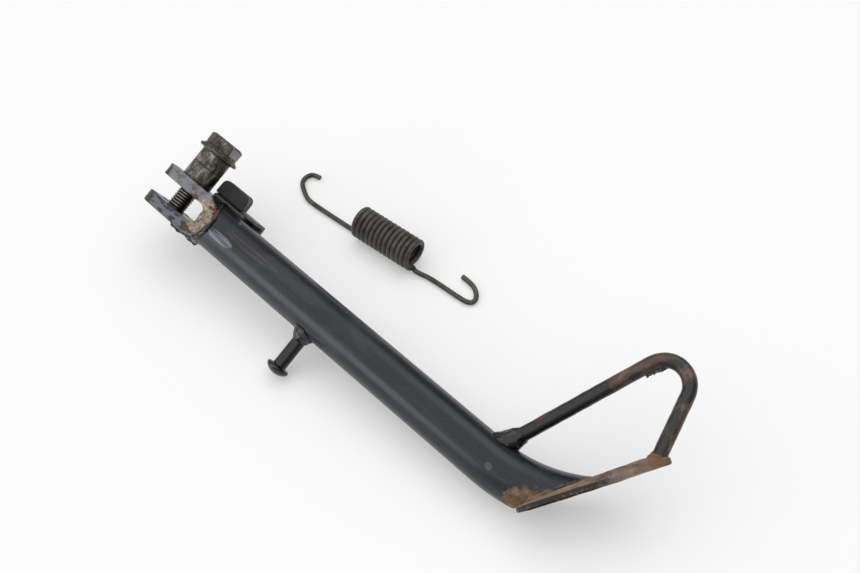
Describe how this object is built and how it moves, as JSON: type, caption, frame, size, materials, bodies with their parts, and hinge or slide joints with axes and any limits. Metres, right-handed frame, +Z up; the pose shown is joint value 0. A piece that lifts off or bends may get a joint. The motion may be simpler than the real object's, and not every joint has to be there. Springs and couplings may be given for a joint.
{
  "type": "motorcycle kickstand",
  "caption": "Motorcycle side stand: tube leg with a forked pivot end, shoulder bolt, spring pin, rubber stop, foot loop and sole plate, with its loose return spring.",
  "frame": {"origin": "on the pivot bolt's axis, midway between the fork's ears", "axes": "+X along the leg on the ground from the fork to the foot, +Z up from the ground, +Y toward the side that the bolt head is on"},
  "size_m": [0.3398, 0.1297, 0.0663],
  "materials": {
    "black_paint": "satin black paint, dusty and lightly scratched",
    "worn_black_steel": "black paint worn through to bare and rusty steel on the edges",
    "black_weld": "gloss black paint over weld beads",
    "angle_paint": "dark grey paint, edges worn bright",
    "loop_paint": "black paint, worn to rusty steel round the bend",
    "bolt_steel": "dark stained steel with bright wear",
    "rusty_steel": "brown rusty steel, edges scraped bright",
    "rubber": "matte dark grey rubber",
    "spring_steel": "dark oiled spring wire"
  },
  "bodies": {
    "stand": {"fork": "worn_black_steel", "leg_tube": "black_paint", "fork_weld": "black_weld", "ear_side_weld": "black_weld", "stop_angle": "angle_paint", "stop_angle_weld": "black_weld", "rubber_stop": "rubber", "spring_pin": "black_paint", "spring_pin_weld": "black_weld", "sole_plate": "rusty_steel", "sole_weld": "black_weld", "foot_loop": "loop_paint", "loop_root_weld": "black_weld", "loop_tip_weld": "rusty_steel"},
    "bolt": {"pivot_bolt": "bolt_steel"},
    "spring": {"spring_coil": "spring_steel", "spring_hook_fork_end": "spring_steel"},
    "spring_end": {"spring_hook_foot_end": "spring_steel"}
  },
  "joints": [
    {"name": "pivot_bolt_slide", "type": "slide", "parent": "stand", "child": "bolt", "axis": [0.0325, 0.8712, 0.4898], "range_m": [-0.0168, 0.027]},
    {"name": "spring_lift", "type": "slide", "parent": "stand", "child": "spring", "axis": [0, 0, 1], "range_m": [0, 0.06]},
    {"name": "spring_stretch", "type": "slide", "parent": "spring", "child": "spring_end", "axis": [0.9972, 0.075, 0], "range_m": [0, 0.03], "stiffness_N_per_m": 400, "deforming": ["spring_coil"]}
  ]
}
